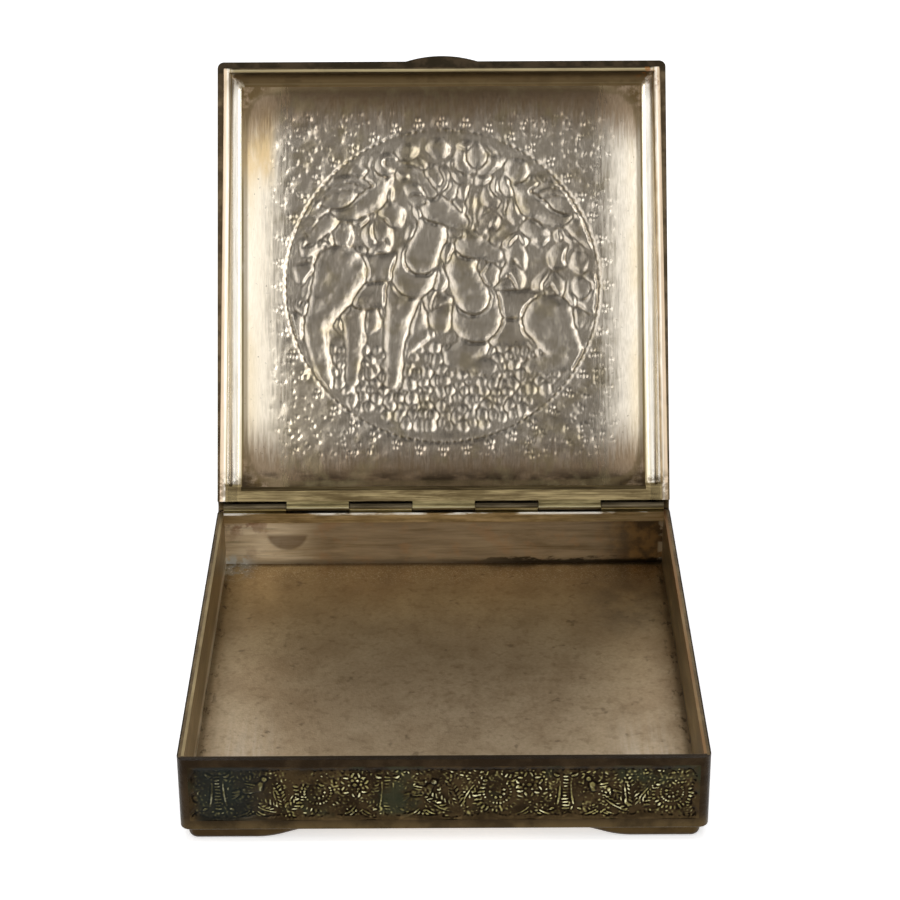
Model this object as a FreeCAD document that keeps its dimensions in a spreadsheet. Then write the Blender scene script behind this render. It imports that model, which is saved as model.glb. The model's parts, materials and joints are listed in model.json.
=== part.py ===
# Square hinged table box in chased silver, drawn with its lid open against the hinge's stop.
# X runs to the right, Y from front to back, Z up. The origin is the middle of the body's footprint,
# on the surface that the feet stand on. Lengths are in millimetres and angles in degrees.

import FreeCAD, Part
import math
import os
import Sketcher
from types import SimpleNamespace

SIZES = {
    # Walls: a chased plate outside, backed by a plain lining plate
    "body_side": 140.0,
    "wall_height": 22.0,
    "wall_plate": 1.1,
    "lining_plate": 0.8,
    "corner_round": 2.6,
    "frieze_sink": 0.7,
    "band_top": 2.2,
    "band_bottom": 3.0,
    "band_end": 2.8,
    "skirt_round": 0.6,
    # Floor, set above the lower edge of the walls
    "inner_depth": 18.3,
    "floor_sheet": 0.9,
    # Bracket feet, standing inside the skirt of the walls
    "foot_drop": 4.2,
    "foot_sheet": 3.0,
    "foot_flat": 18.0,
    "foot_toe_run": 8.0,
    "foot_curve_run": 26.0,
    "foot_corner": 2.6,
    "foot_round": 1.7,
    # Hinge: knuckles on one pin, lying in two concave strips
    "hinge_inset": 0.8,
    "hinge_rise": 1.0,
    "knuckle_radius": 1.35,
    "knuckle_gap": 0.25,
    "pin_radius": 0.65,
    "pin_clearance": 0.05,
    "gutter_clearance": 0.7,
    "web_width": 1.8,
    "bearer_floor": 0.8,
    "bearer_sheet": 0.9,
    "bearer_leg": 3.35,
    "bearer_gap": 0.15,
    # Lid, sized in its closed position
    "lid_open": 119.7,
    "seat_gap": 0.05,
    "stop_gap": 0.05,
    "stop_lip": 0.9,
    "lip_round": 0.6,
    "moulding_width": 7.3,
    "moulding_edge": 1.4,
    "edge_round": 0.5,
    "cove_start": 3.7,
    "lid_depth": 3.0,
    "lid_corner": 2.0,
    "bar_chamfer": 1.4,
    "panel_sheet": 0.9,
    "panel_rim": 0.8,
    "dome_slope": 8.0,
    "dome_rise": 1.2,
    "ring_radius": 49.0,
    "ring_width": 1.2,
    "ring_height": 0.45,
    "ring_groove": 0.35,
    # Bezel strips that locate the closed lid inside the walls
    "bezel_clearance": 0.25,
    "bezel_sheet": 1.5,
    "bezel_drop": 2.0,
    "bezel_end_gap": 0.5,
    # Thumbpiece on the front edge of the lid
    "thumb_width": 23.0,
    "thumb_reach": 1.8,
    "thumb_sheet": 1.2,
    "thumb_lift": 0.1,
    "thumb_round": 0.4,
}

KNUCKLES = 7
QUARTER_TURN = 90
ALONG_X = FreeCAD.Vector(1, 0, 0)
ALONG_Y = FreeCAD.Vector(0, 1, 0)
ALONG_Z = FreeCAD.Vector(0, 0, 1)

doc = FreeCAD.newDocument("hinged_box")
sheet = doc.addObject("Spreadsheet::Sheet", "Sizes")
for row, (alias, number) in enumerate(SIZES.items(), start=1):
    sheet.set(f"A{row}", alias)
    sheet.set(f"B{row}", str(number))
    sheet.setAlias(f"B{row}", alias)
doc.recompute()


class Size:
    """A number together with the formula that gives it from the sheet's cells."""

    def __init__(self, value, formula):
        self.value = value
        self.formula = formula

    def __add__(self, other):
        other = as_size(other)
        return Size(self.value + other.value, f"({self.formula} + {other.formula})")

    def __sub__(self, other):
        other = as_size(other)
        return Size(self.value - other.value, f"({self.formula} - {other.formula})")

    def __mul__(self, other):
        other = as_size(other)
        return Size(self.value * other.value, f"({self.formula} * {other.formula})")

    def __truediv__(self, other):
        other = as_size(other)
        return Size(self.value / other.value, f"({self.formula} / {other.formula})")

    def __neg__(self):
        return Size(-self.value, f"(0 - {self.formula})")


def as_size(number):
    return number if isinstance(number, Size) else Size(number, repr(number))


def root(size):
    return Size(math.sqrt(size.value), f"sqrt({size.formula})")


def cosine(angle):
    return Size(math.cos(math.radians(angle.value)), f"cos({angle.formula})")


def sine(angle):
    return Size(math.sin(math.radians(angle.value)), f"sin({angle.formula})")


def leg(hypotenuse, other):
    """The remaining leg of a right triangle."""
    return root(hypotenuse * hypotenuse - other * other)


def least(first, second):
    return Size(min(first.value, second.value), f"min({first.formula}; {second.formula})")


def arc_radius(half_chord, rise):
    """Radius of an arc that rises by this much over half of its chord."""
    return (half_chord * half_chord + rise * rise) / (rise * 2)


NIL = as_size(0)
size = SimpleNamespace(**{name: Size(number, f"Sizes.{name}") for name, number in SIZES.items()})

# Places that several pieces share
half = size.body_side / 2
wall = size.wall_plate + size.lining_plate
inner_half = half - wall
wall_top = size.foot_drop + size.wall_height
floor_under = wall_top - size.inner_depth - size.floor_sheet
axis_y = half - size.hinge_inset
axis_z = wall_top + size.hinge_rise
gutter = size.knuckle_radius + size.gutter_clearance
bearer_under = gutter + size.bearer_floor
# Distance within which an edge counts as lying on a plane
TOUCH = 1e-4
# Part of a corner's radius that lies outside the middle of its arc
ARC_SHY = 1 - math.sqrt(0.5)


def bind(thing, path, amount):
    thing.setExpression(path, amount.formula)


def new_body(label):
    body = doc.addObject("PartDesign::Body", label)
    body.Label = label
    return body


def place(thing, base, axis=ALONG_Z, angle=NIL):
    """Puts an object at three sizes, turned about an axis through its own origin."""
    spot = FreeCAD.Vector(*[amount.value for amount in base])
    thing.Placement = FreeCAD.Placement(spot, FreeCAD.Rotation(axis, angle.value))
    for letter, amount in zip("xyz", base):
        bind(thing, f".Placement.Base.{letter}", amount)
    if angle.value:
        bind(thing, ".Placement.Rotation.Angle", angle)
    return thing


def new_sketch(body, role, name, lift=NIL, shift=NIL):
    """A sketch on one of the body's planes, lifted along its normal and shifted along its own X."""
    sketch = body.newObject("Sketcher::SketchObject", name)
    plane = next(item for item in body.Origin.OriginFeatures if item.Role == role)
    sketch.AttachmentSupport = (plane, [""])
    sketch.MapMode = "FlatFace"
    sketch.AttachmentOffset = FreeCAD.Placement(
        FreeCAD.Vector(shift.value, 0, lift.value), FreeCAD.Rotation()
    )
    bind(sketch, ".AttachmentOffset.Base.x", shift)
    bind(sketch, ".AttachmentOffset.Base.z", lift)
    return sketch


def arc_between(start, end, radius, turn, major):
    """Arc from start to end, with turn 1 for counter-clockwise and -1 for clockwise."""
    chord = end - start
    middle = (start + end) * 0.5
    left = FreeCAD.Vector(-chord.y, chord.x, 0).normalize()
    reach = math.sqrt(max(radius**2 - (chord.Length / 2) ** 2, 0))
    centre = middle + left * reach * turn * (-1 if major else 1)
    first, last = (start, end) if turn > 0 else (end, start)
    begin = math.atan2(first.y - centre.y, first.x - centre.x)
    finish = math.atan2(last.y - centre.y, last.x - centre.x)
    if finish < begin:
        finish += 2 * math.pi
    return Part.ArcOfCircle(Part.Circle(centre, ALONG_Z, radius), begin, finish)


def draw_outline(sketch, corners, bends=None):
    """Closed outline through corners of two sizes each. bends maps a side to (radius, turn, major)."""
    bends = bends or {}
    points = [FreeCAD.Vector(across.value, up.value, 0) for across, up in corners]
    count = len(points)
    offset = sketch.GeometryCount
    ends = []
    for side, start in enumerate(points):
        end = points[(side + 1) % count]
        if side in bends:
            radius, turn, major = bends[side]
            sketch.addGeometry(arc_between(start, end, radius.value, turn, major))
            ends.append((1, 2) if turn > 0 else (2, 1))
        else:
            sketch.addGeometry(Part.LineSegment(start, end))
            ends.append((1, 2))
    for side in range(count):
        after = (side + 1) % count
        joint = (offset + side, ends[side][1], offset + after, ends[after][0])
        sketch.addConstraint(Sketcher.Constraint("Coincident", *joint))
    for side, corner in enumerate(corners):
        for kind, amount in zip(("DistanceX", "DistanceY"), corner):
            spot = (-1, 1, offset + side, ends[side][0], amount.value)
            number = sketch.addConstraint(Sketcher.Constraint(kind, *spot))
            bind(sketch, f"Constraints[{number}]", amount)
    for side, (radius, turn, major) in bends.items():
        number = sketch.addConstraint(Sketcher.Constraint("Radius", offset + side, radius.value))
        bind(sketch, f"Constraints[{number}]", radius)


def draw_circle(sketch, radius):
    """Circle about the sketch's origin."""
    edge = sketch.addGeometry(Part.Circle(FreeCAD.Vector(0, 0, 0), ALONG_Z, radius.value))
    sketch.addConstraint(Sketcher.Constraint("Coincident", edge, 3, -1, 1))
    number = sketch.addConstraint(Sketcher.Constraint("Radius", edge, radius.value))
    bind(sketch, f"Constraints[{number}]", radius)


def rectangle(left, right, low, high):
    return [(left, low), (right, low), (right, high), (left, high)]


def pad(body, sketch, length, side_type="One side"):
    feature = body.newObject("PartDesign::Pad", f"{sketch.Name}_pad")
    feature.Profile = sketch
    feature.SideType = side_type
    feature.Length = length.value
    bind(feature, "Length", length)
    return feature


def cut(body, sketch, length=None, side_type="One side"):
    """Pocket of a given length, or right through the body on both sides of its sketch."""
    doc.recompute()
    before = body.Shape.Volume
    feature = body.newObject("PartDesign::Pocket", f"{sketch.Name}_cut")
    feature.Profile = sketch
    if length is None:
        feature.Type = "ThroughAll"
        feature.SideType = "Symmetric"
    else:
        feature.SideType = side_type
        feature.Length = length.value
        bind(feature, "Length", length)
    doc.recompute()
    if body.Shape.Volume > before - 1e-6:
        raise RuntimeError(f"{feature.Label} removes nothing")


def round_edges(body, name, radius, wanted):
    """Rounds the edges of the body's last feature for which wanted is true."""
    doc.recompute()
    last = body.Tip
    chosen = [f"Edge{n}" for n, edge in enumerate(last.Shape.Edges, 1) if wanted(edge)]
    fillet = body.newObject("PartDesign::Fillet", name)
    fillet.Base = (last, chosen)
    bind(fillet, "Radius", radius)


def wall_body(label, corners, bends):
    """Upright plate of one side. Its own Y starts at the outer face of the box."""
    body = new_body(label)
    plan = new_sketch(body, "XY_Plane", f"{label}_plan")
    draw_outline(plan, corners, bends)
    pad(body, plan, size.wall_height)
    return body


def notch_for_hinge(body):
    """Lowers the top edge between the side walls, where the hinge bearer sits."""
    seat = size.wall_height + size.hinge_rise - bearer_under
    notch = new_sketch(body, "XZ_Plane", f"{body.Name}_notch")
    draw_outline(notch, rectangle(-inner_half, inner_half, seat, size.wall_height))
    cut(body, notch)


def make_walls():
    """Four chased plates, rounded at the corners and the foot, with a sunk field for the frieze."""
    shy = size.corner_round * ARC_SHY
    outer = half - size.corner_round
    middle = half - shy
    inner = half - size.wall_plate
    corners = [(-outer, NIL), (outer, NIL), (middle, shy), (inner, size.wall_plate)]
    corners += [(-inner, size.wall_plate), (-middle, shy)]
    corner_bend = (size.corner_round, 1, False)

    def on_skirt(edge):
        box = edge.BoundBox
        return box.ZMax < TOUCH and box.YMax < size.wall_plate.value - TOUCH

    field_end = half - size.band_end
    field_top = size.wall_height - size.band_top
    pieces = []
    for turn, side in enumerate(("front", "right", "back", "left")):
        body = wall_body(f"wall_{side}", corners, {1: corner_bend, 5: corner_bend})
        field = new_sketch(body, "XZ_Plane", f"field_{side}")
        draw_outline(field, rectangle(-field_end, field_end, size.band_bottom, field_top))
        cut(body, field, size.frieze_sink)
        round_edges(body, f"skirt_{side}", size.skirt_round, on_skirt)
        pieces.append((turn, body))
    return pieces


def make_linings():
    """Four plain plates behind the chased ones, mitred at the corners."""
    outer = half - size.wall_plate
    corners = [(-outer, size.wall_plate), (outer, size.wall_plate)]
    corners += [(inner_half, wall), (-inner_half, wall)]
    pieces = []
    for turn, side in enumerate(("front", "right", "back", "left")):
        pieces.append((turn, wall_body(f"lining_{side}", corners, {})))
    return pieces


def place_side(turn, body):
    """Stands a plate on its side of the square, counted from the front by quarter turns."""
    across = (NIL, half, NIL, -half)[turn]
    along = (-half, NIL, half, NIL)[turn]
    return place(body, (across, along, size.foot_drop), ALONG_Z, as_size(turn * QUARTER_TURN))


def make_floor():
    floor = doc.addObject("Part::Box", "floor_plate")
    for path, amount in (
        ("Length", inner_half * 2),
        ("Width", inner_half * 2),
        ("Height", size.floor_sheet),
    ):
        bind(floor, path, amount)
    return place(floor, (-inner_half, -inner_half, floor_under))


def make_foot(label, turn):
    """Bracket foot of two equal arms, each ending in a double curve up to the edge of the wall."""
    body = new_body(label)
    arm = size.foot_flat + size.foot_curve_run
    plan = new_sketch(body, "XY_Plane", f"{label}_plan")
    corners = [(size.foot_corner, NIL), (arm, NIL), (arm, size.foot_sheet)]
    corners += [(size.foot_sheet, size.foot_sheet), (size.foot_sheet, arm)]
    corners += [(NIL, arm), (NIL, size.foot_corner)]
    draw_outline(plan, corners, {6: (size.foot_corner, 1, False)})
    pad(body, plan, floor_under)

    both_arcs = arc_radius(size.foot_curve_run, size.foot_drop)
    toe_radius = both_arcs * size.foot_toe_run / size.foot_curve_run
    toe_end = size.foot_flat + size.foot_toe_run
    toe_rise = size.foot_drop * size.foot_toe_run / size.foot_curve_run
    sweep = [(size.foot_flat, NIL), (toe_end, toe_rise), (arm, size.foot_drop), (arm, NIL)]
    bends = {0: (toe_radius, 1, False), 1: (both_arcs - toe_radius, -1, False)}
    for role in ("XZ_Plane", "YZ_Plane"):
        curve = new_sketch(body, role, f"{label}_curve_{role[:2]}")
        draw_outline(curve, sweep, bends)
        cut(body, curve)

    def on_sole(edge):
        box = edge.BoundBox
        on_outer_face = min(box.XMax, box.YMax) < TOUCH
        round_corner = max(box.XMin, box.YMin) < TOUCH
        return box.ZMax < TOUCH and (on_outer_face or round_corner)

    round_edges(body, f"{label}_sole", size.foot_round, on_sole)
    across = (-inner_half, inner_half, inner_half, -inner_half)[turn]
    along = (-inner_half, -inner_half, inner_half, inner_half)[turn]
    return place(body, (across, along, NIL), ALONG_Z, as_size(turn * QUARTER_TURN))


def make_bearer():
    """Concave strip on the back wall that the knuckles lie in, with a leg down the lining."""
    body = new_body("hinge_bearer")
    lining_face = wall - size.hinge_inset
    leg_face = lining_face + size.bearer_sheet
    top = size.hinge_rise + size.bearer_gap
    leg_end = size.hinge_rise + size.bearer_leg
    section = new_sketch(body, "YZ_Plane", "bearer_section")
    corners = [(-leg_face, -top), (-leg_face, -leg_end), (-lining_face, -leg_end)]
    corners += [(-lining_face, -bearer_under), (size.hinge_inset, -bearer_under)]
    corners += [(size.hinge_inset, -leg(gutter, size.hinge_inset)), (-leg(gutter, top), -top)]
    draw_outline(section, corners, {5: (gutter, -1, False)})
    pad(body, section, inner_half * 2, "Symmetric")
    return place(body, (NIL, axis_y, axis_z))


def knuckle_body(label, bore, on_lid):
    """Tube with a web that fills the gutter of the strip it is soldered to."""
    body = new_body(label)
    section = new_sketch(body, "YZ_Plane", f"{label}_section")
    web = size.web_width / 2
    tube = leg(size.knuckle_radius, web)
    seat = leg(gutter, web)
    path = [(tube, web), (tube, -web), (seat, -web), (seat, web)]
    if on_lid:
        corners = [(-out, -across) for out, across in path]
    else:
        corners = [(across, -out) for out, across in path]
    bends = {0: (size.knuckle_radius, 1, True), 2: (gutter, 1, False)}
    draw_outline(section, corners, bends)
    draw_circle(section, bore)
    return body


def make_knuckles():
    """Seven tubes in a row: the odd ones on the body, the even ones on the lid."""
    length = (inner_half * 2 - size.knuckle_gap * (KNUCKLES - 1)) / KNUCKLES
    pieces = []
    for number in range(KNUCKLES):
        on_lid = number % 2 == 1
        label = f"{'lid' if on_lid else 'base'}_knuckle_{number // 2 + 1}"
        holds_pin = number in (0, KNUCKLES - 1)
        bore = size.pin_radius if holds_pin else size.pin_radius + size.pin_clearance
        body = knuckle_body(label, bore, on_lid)
        pad(body, doc.getObject(f"{label}_section"), length)
        start = (length + size.knuckle_gap) * number - inner_half
        if on_lid:
            place(body, (start, axis_y, axis_z), ALONG_X, -size.lid_open)
        else:
            place(body, (start, axis_y, axis_z))
        pieces.append(body)
    return pieces


def make_pin():
    pin = doc.addObject("Part::Cylinder", "hinge_pin")
    bind(pin, "Radius", size.pin_radius)
    bind(pin, "Height", inner_half * 2)
    return place(pin, (-inner_half, axis_y, axis_z), ALONG_Y, as_size(QUARTER_TURN))


# Lid pieces are drawn closed, from an origin on the hinge axis, and then turned open about it
lid_front = size.body_side - size.hinge_inset
bar_front = size.moulding_width - size.hinge_inset
flange = size.seat_gap - size.hinge_rise
panel_under = flange + size.lid_depth
panel_over = panel_under + size.panel_sheet
panel_half = half - size.moulding_width
# Largest part of the lip's back that its rounding may take
LIP_SHARE = 0.9


def open_lid_piece(body):
    return place(body, (NIL, axis_y, axis_z), ALONG_X, -size.lid_open)


def moulding_section(sketch, from_edge, turn):
    """Flat flange, cove inside and quarter round outside; from_edge places a width from the edge."""
    cove_width = size.moulding_width - size.cove_start
    cove = arc_radius(cove_width, size.lid_depth)
    outside = cove + size.panel_sheet
    ledge = flange + size.moulding_edge
    ledge_end = size.moulding_width - leg(outside, size.moulding_edge - size.lid_depth + cove)
    corners = [
        (from_edge(NIL), flange),
        (from_edge(size.cove_start), flange),
        (from_edge(size.moulding_width), panel_under),
        (from_edge(size.moulding_width), panel_over),
        (from_edge(ledge_end), ledge),
        (from_edge(size.edge_round), ledge),
        (from_edge(NIL), ledge - size.edge_round),
    ]
    bends = {1: (cove, -turn, False), 3: (outside, turn, False), 5: (size.edge_round, turn, False)}
    draw_outline(sketch, corners, bends)


def make_front_moulding():
    """Front strip of the lid's moulding, mitred and rounded at both ends."""
    body = new_body("lid_moulding_front")
    section = new_sketch(body, "YZ_Plane", "front_moulding_section")
    moulding_section(section, lambda width: width - lid_front, 1)
    pad(body, section, size.body_side, "Symmetric")
    shy = size.lid_corner * ARC_SHY
    for side in (-1, 1):
        mitre = new_sketch(body, "XY_Plane", f"front_mitre_{'left' if side < 0 else 'right'}")
        corners = [
            ((half - size.lid_corner) * side, -lid_front),
            ((half - shy) * side, shy - lid_front),
            (panel_half * side, size.moulding_width - lid_front),
            (half * side, size.moulding_width - lid_front),
            (half * side, -lid_front),
        ]
        draw_outline(mitre, corners, {0: (size.lid_corner, side, False)})
        cut(body, mitre)
    return open_lid_piece(body)


def make_side_moulding(label, side):
    """Side strip of the lid's moulding, mitred in front and butted against the hinge bar."""
    body = new_body(label)
    section = new_sketch(body, "XZ_Plane", f"{label}_section", lift=bar_front)
    moulding_section(section, lambda width: (half - width) * side, -side)
    pad(body, section, lid_front - bar_front)
    shy = size.lid_corner * ARC_SHY
    mitre = new_sketch(body, "XY_Plane", f"{label}_mitre")
    corners = [
        (half * side, size.lid_corner - lid_front),
        ((half - shy) * side, shy - lid_front),
        (panel_half * side, size.moulding_width - lid_front),
        (panel_half * side, -lid_front),
        (half * side, -lid_front),
    ]
    draw_outline(mitre, corners, {0: (size.lid_corner, -side, False)})
    cut(body, mitre)
    return open_lid_piece(body)


def make_hinge_bar():
    """Back bar of the lid: hollowed over the knuckles, with a lip that stops on the back wall."""
    body = new_body("lid_hinge_bar")
    stop = size.hinge_inset + size.stop_gap
    slide = leg(gutter, stop)
    turn_cos = cosine(size.lid_open)
    turn_sin = sine(size.lid_open)
    lip_root = (stop * turn_cos + slide * turn_sin, stop * turn_sin - slide * turn_cos)
    lip_y = lip_root[0] + size.stop_lip * turn_sin
    lip_z = lip_root[1] - size.stop_lip * turn_cos
    lip_round = least(size.lip_round, (panel_over - lip_z) * LIP_SHARE)
    section = new_sketch(body, "YZ_Plane", "bar_section")
    corners = [(-bar_front, flange), (-leg(gutter, flange), flange), lip_root, (lip_y, lip_z)]
    corners += [(lip_y, panel_over - lip_round), (lip_y - lip_round, panel_over)]
    corners += [(-bar_front, panel_over)]
    draw_outline(section, corners, {1: (gutter, -1, False), 4: (lip_round, 1, False)})
    pad(body, section, size.body_side, "Symmetric")
    slope = new_sketch(body, "YZ_Plane", "bar_slope")
    corners = [(-bar_front, flange), (size.bar_chamfer - bar_front, flange)]
    corners += [(-bar_front, panel_under)]
    draw_outline(slope, corners)
    cut(body, slope, panel_half * 2, "Symmetric")
    return open_lid_piece(body)


def make_panel():
    """Panel of the lid: raised inside a flat rim, with the ring of its medallion pressed through."""
    body = new_body("lid_panel")
    panel_front = lid_front - size.moulding_width

    def panel_square(name, level, inset):
        outline = new_sketch(body, "XY_Plane", name, lift=level)
        side = panel_half - inset
        draw_outline(outline, rectangle(-side, side, inset - panel_front, -bar_front - inset))
        return outline

    pad(body, panel_square("panel_plan", panel_under, NIL), size.panel_sheet)
    for kind, level in (("AdditiveLoft", panel_over), ("SubtractiveLoft", panel_under)):
        foot = panel_square(f"{kind}_foot", level, size.panel_rim)
        crown = panel_square(f"{kind}_crown", level + size.dome_rise, size.panel_rim + size.dome_slope)
        loft = body.newObject(f"PartDesign::{kind}", f"dome_{kind}")
        loft.Profile = foot
        loft.Sections = [crown]
        loft.Ruled = True
        doc.recompute()
    centre = -(panel_front + bar_front) / 2
    half_width = size.ring_width / 2
    inside = size.ring_radius - half_width
    outside = size.ring_radius + half_width
    for kind, level, depth in (
        ("Revolution", panel_under + size.dome_rise, size.ring_height),
        ("Groove", panel_over + size.dome_rise, size.ring_groove),
    ):
        section = new_sketch(body, "YZ_Plane", f"ring_{kind.lower()}_section", shift=centre)
        bend = (arc_radius(half_width, depth), -1, False)
        draw_outline(section, [(inside, level), (outside, level)], {1: bend})
        doc.recompute()
        before = body.Shape.Volume
        ring = body.newObject(f"PartDesign::{kind}", f"ring_{kind.lower()}")
        ring.Profile = section
        ring.ReferenceAxis = (section, ["V_Axis"])
        doc.recompute()
        change = body.Shape.Volume - before
        if change * (1 if kind == "Revolution" else -1) <= 0:
            raise RuntimeError(f"{ring.Label} has no effect")
    return open_lid_piece(body)


def make_bezel(label, corners):
    """Strip under the flange that drops inside the walls when the lid is shut."""
    body = new_body(label)
    plan = new_sketch(body, "XY_Plane", f"{label}_plan", lift=flange - size.bezel_drop)
    draw_outline(plan, corners)
    pad(body, plan, size.bezel_drop)
    return open_lid_piece(body)


def make_bezels():
    setback = wall + size.bezel_clearance
    outer = half - setback
    inner = outer - size.bezel_sheet
    front = setback - lid_front
    back = -(bar_front + size.bezel_end_gap)
    return [
        make_bezel("lid_bezel_front", rectangle(-inner, inner, front, front + size.bezel_sheet)),
        make_bezel("lid_bezel_left", rectangle(-outer, -inner, front, back)),
        make_bezel("lid_bezel_right", rectangle(inner, outer, front, back)),
    ]


def make_thumbpiece():
    """Crescent lip on the front edge of the lid, rounded along its curved edge."""
    body = new_body("thumbpiece")
    reach = size.thumb_width / 2
    plan = new_sketch(body, "XY_Plane", "thumb_plan", lift=flange + size.thumb_lift)
    bend = (arc_radius(reach, size.thumb_reach), -1, False)
    draw_outline(plan, [(-reach, -lid_front), (reach, -lid_front)], {1: bend})
    crescent = pad(body, plan, size.thumb_sheet)
    doc.recompute()
    edges = crescent.Shape.Edges
    curved = [f"Edge{n}" for n, edge in enumerate(edges, 1) if isinstance(edge.Curve, Part.Circle)]
    fillet = body.newObject("PartDesign::Fillet", "thumb_rounding")
    fillet.Base = (crescent, curved)
    bind(fillet, "Radius", size.thumb_round)
    return open_lid_piece(body)


def make_pieces():
    pieces = []
    for turn, body in make_walls() + make_linings():
        if body.Label.endswith("back"):
            notch_for_hinge(body)
        pieces.append(place_side(turn, body))
    pieces.append(make_floor())
    for turn, corner in enumerate(("front_left", "front_right", "back_right", "back_left")):
        pieces.append(make_foot(f"foot_{corner}", turn))
    pieces.append(make_bearer())
    pieces += make_knuckles()
    pieces.append(make_pin())
    pieces.append(make_panel())
    pieces.append(make_front_moulding())
    pieces.append(make_side_moulding("lid_moulding_left", -1))
    pieces.append(make_side_moulding("lid_moulding_right", 1))
    pieces.append(make_hinge_bar())
    pieces += make_bezels()
    pieces.append(make_thumbpiece())
    return pieces


pieces = make_pieces()
doc.recompute()
for thing in doc.Objects:
    if {"Invalid", "Error"} & set(thing.State):
        raise RuntimeError(f"{thing.Label} failed: {thing.State}")
for piece in pieces:
    shape = piece.Shape
    if shape.isNull() or not shape.isValid() or len(shape.Solids) != 1:
        raise RuntimeError(f"{piece.Label} is not one sound solid")

os.makedirs("parts", exist_ok=True)
for piece in pieces:
    piece.Shape.exportStep(f"parts/{piece.Label}.step")
    print(f"{piece.Label}: {piece.Shape.Volume:.1f} mm3")
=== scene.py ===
import json
import math

import bpy
import numpy as np
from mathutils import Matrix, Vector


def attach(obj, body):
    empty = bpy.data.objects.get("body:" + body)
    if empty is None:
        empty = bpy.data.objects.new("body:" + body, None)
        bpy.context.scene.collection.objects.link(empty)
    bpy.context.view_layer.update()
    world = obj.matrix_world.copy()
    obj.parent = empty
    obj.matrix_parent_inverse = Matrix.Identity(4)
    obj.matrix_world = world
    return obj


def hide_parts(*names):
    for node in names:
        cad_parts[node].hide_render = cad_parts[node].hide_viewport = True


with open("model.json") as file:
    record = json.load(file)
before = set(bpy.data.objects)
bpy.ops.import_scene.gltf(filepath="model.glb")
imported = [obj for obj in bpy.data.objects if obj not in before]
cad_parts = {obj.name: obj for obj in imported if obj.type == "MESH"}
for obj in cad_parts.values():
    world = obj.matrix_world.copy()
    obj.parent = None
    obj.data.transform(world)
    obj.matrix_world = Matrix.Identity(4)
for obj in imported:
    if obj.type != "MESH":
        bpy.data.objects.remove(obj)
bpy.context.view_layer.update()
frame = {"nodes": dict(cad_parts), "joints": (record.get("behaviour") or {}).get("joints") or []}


# Walls: four plates of silver, mitred and soldered at the corners and almost black with old tarnish.
# The plain bands are rubbed brown towards the foot, and the tops of the side walls are rubbed tan.
MM = 0.001
HALF_SIDE, INNER_FACE, BRIM = 70.0, 68.1, 26.2
SIDES = ("front", "right", "back", "left")


def colour(code):
    """Linear colour of a six-digit code."""
    parts = [int(code[i:i + 2], 16) / 255 for i in (0, 2, 4)]
    return (*[p / 12.92 if p <= 0.04045 else ((p + 0.055) / 1.055) ** 2.4 for p in parts], 1)


def new_finish(name, roughness):
    """An empty metal finish: its material, its node tree and its shader."""
    finish = bpy.data.materials.new(name)
    finish.use_nodes = True
    shader = finish.node_tree.nodes["Principled BSDF"]
    shader.inputs["Metallic"].default_value = 1.0
    shader.inputs["Roughness"].default_value = roughness
    return finish, finish.node_tree, shader


def feed(socket, source):
    """Joins a socket to a node's output, or sets it to a plain value."""
    if isinstance(source, bpy.types.NodeSocket):
        socket.id_data.links.new(source, socket)
    else:
        socket.default_value = source


def new_node(kind, *sources):
    """A node in the tree that its sources come from."""
    tree = next(source.id_data for source in sources if isinstance(source, bpy.types.NodeSocket))
    return tree.nodes.new(kind)


def place(tree, stretch=(1, 1, 1), turn=0.0, shift=(0, 0, 0)):
    """Object coordinates in metres, stretched, turned about X and shifted."""
    where = tree.nodes.new("ShaderNodeTexCoord")
    mapping = tree.nodes.new("ShaderNodeMapping")
    mapping.inputs["Scale"].default_value = stretch
    mapping.inputs["Rotation"].default_value = (turn, 0, 0)
    mapping.inputs["Location"].default_value = shift
    tree.links.new(where.outputs["Object"], mapping.inputs["Vector"])
    return mapping.outputs["Vector"]


def along(vector, axis):
    """One coordinate of a vector."""
    parts = new_node("ShaderNodeSeparateXYZ", vector)
    feed(parts.inputs[0], vector)
    return parts.outputs["XYZ".index(axis)]


def reckon(kind, first, second=0.0):
    """A sum, product or other reckoning on two numbers."""
    node = new_node("ShaderNodeMath", first, second)
    node.operation = kind
    feed(node.inputs[0], first)
    feed(node.inputs[1], second)
    return node.outputs[0]


def span(value, low, high):
    """How far a value has come from low to high, eased at both ends."""
    node = new_node("ShaderNodeMapRange", value)
    node.interpolation_type = "SMOOTHSTEP"
    feed(node.inputs["Value"], value)
    if low < high:
        ends = (low, high, 0, 1)
    else:
        ends = (high, low, 1, 0)
    for name, number in zip(("From Min", "From Max", "To Min", "To Max"), ends):
        node.inputs[name].default_value = number
    return node.outputs["Result"]


def part_of(share, *others):
    """Shares taken of one another."""
    for other in others:
        share = reckon("MULTIPLY", share, other)
    return share


def mottle(vector, grain, low=0.4, high=0.62, detail=6.0):
    """Cloudy patches of the given number to the metre, from nought to one."""
    noise = new_node("ShaderNodeTexNoise", vector)
    noise.inputs["Scale"].default_value = grain
    noise.inputs["Detail"].default_value = detail
    noise.inputs["Roughness"].default_value = 0.6
    feed(noise.inputs["Vector"], vector)
    return span(noise.outputs[0], low, high)


def lay(share, under, top):
    """One colour laid over another."""
    node = new_node("ShaderNodeMix", share, under, top)
    node.data_type = "RGBA"
    feed(node.inputs[0], share)
    for socket, source in ((node.inputs[6], under), (node.inputs[7], top)):
        feed(socket, colour(source) if isinstance(source, str) else source)
    return node.outputs[2]


def tint(under, top, *shares):
    """A colour laid thinly over another, by all its shares together."""
    return lay(part_of(*shares), under, top)


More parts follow.
